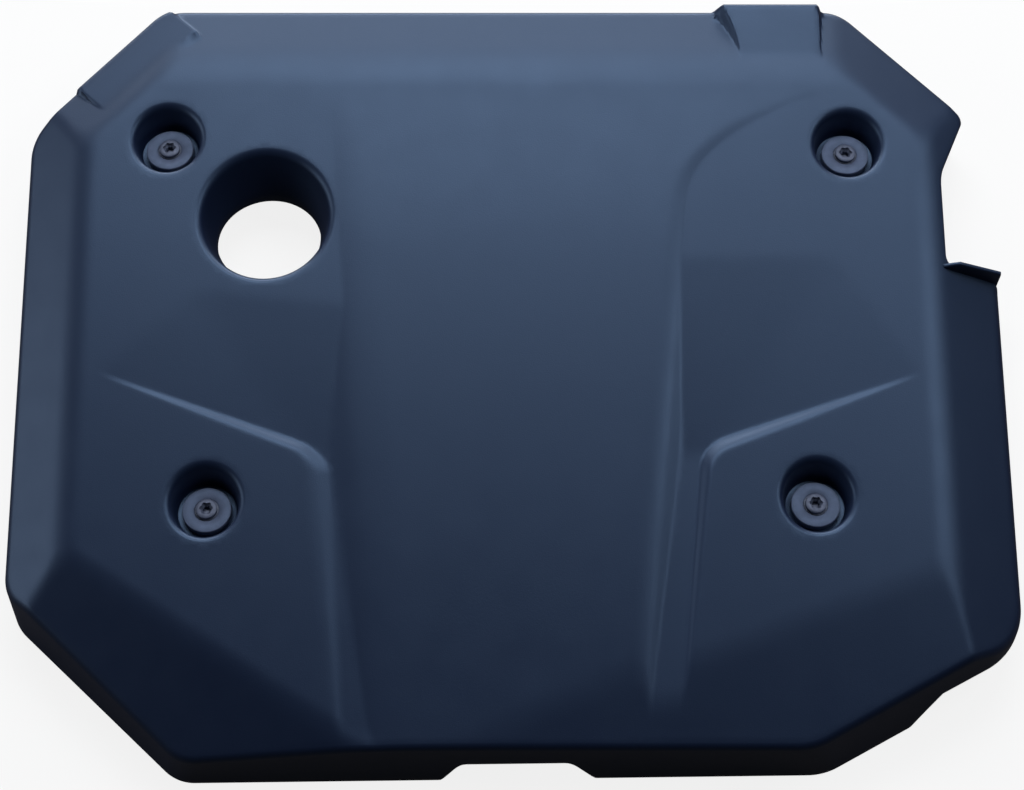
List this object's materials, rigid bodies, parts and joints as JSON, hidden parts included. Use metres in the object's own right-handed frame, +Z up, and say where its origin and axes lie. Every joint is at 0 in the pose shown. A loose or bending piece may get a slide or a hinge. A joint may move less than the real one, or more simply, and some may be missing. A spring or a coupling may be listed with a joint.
{
  "type": "engine cover",
  "caption": "Low moulded plastic engine cover with a raised centre spine, hollowed sides, corner screw wells, a round filler opening and a turned-down skirt.",
  "frame": {"origin": "middle of the cover's box on the plane of the skirt's lower edge", "axes": "+X to the cover's right and its longest side, +Y to the back, +Z up and its shortest side"},
  "size_m": [0.5079, 0.406, 0.0465],
  "materials": {
    "moulded_cover": "dark slate blue moulded plastic with a fine satin grain",
    "bush_rubber": "dark moulded rubber",
    "sleeve_steel": "zinc plated steel",
    "screw_steel": "dark plated steel"
  },
  "bodies": {
    "root": {"cover_shell": "moulded_cover", "rubber_grommet_back_left": "bush_rubber", "rubber_grommet_back_right": "bush_rubber", "rubber_grommet_front_left": "bush_rubber", "rubber_grommet_front_right": "bush_rubber", "spacer_sleeve_back_left": "sleeve_steel", "spacer_sleeve_back_right": "sleeve_steel", "spacer_sleeve_front_left": "sleeve_steel", "spacer_sleeve_front_right": "sleeve_steel", "retaining_screws": "screw_steel"}
  },
  "joints": []
}
